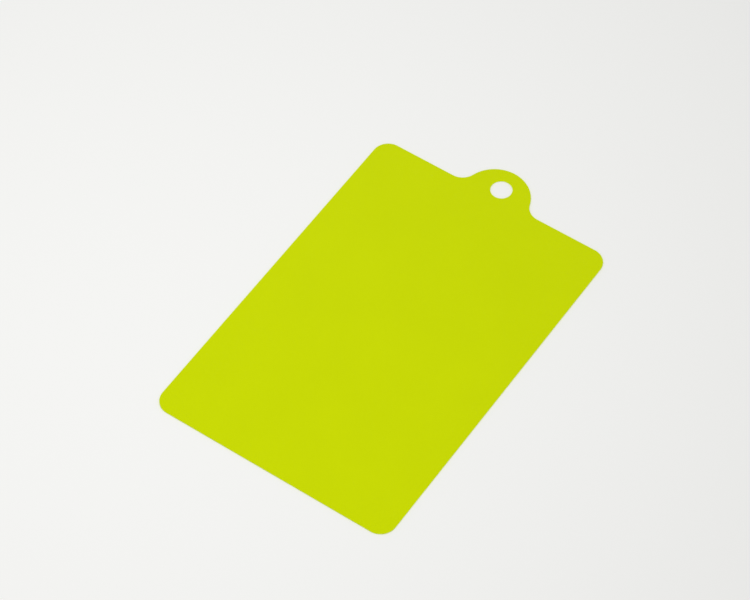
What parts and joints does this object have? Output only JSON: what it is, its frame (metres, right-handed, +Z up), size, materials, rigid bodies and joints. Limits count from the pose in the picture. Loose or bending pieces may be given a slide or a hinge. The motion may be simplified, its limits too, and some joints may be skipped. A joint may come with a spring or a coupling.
{
  "type": "plastic cutting board",
  "caption": "Thin flexible plastic cutting board with rounded corners and a round tab with a hanging hole.",
  "frame": {"origin": "on the underside, in the middle of the rectangle that encloses the body and its tab", "axes": "+Y along the length towards the hanging tab, +X across the width, +Z up out of the cutting face"},
  "size_m": [0.189, 0.3, 0.001],
  "materials": {
    "sheet_plastic": "satin"
  },
  "bodies": {
    "root": {"cutting_sheet": "sheet_plastic"}
  },
  "joints": []
}
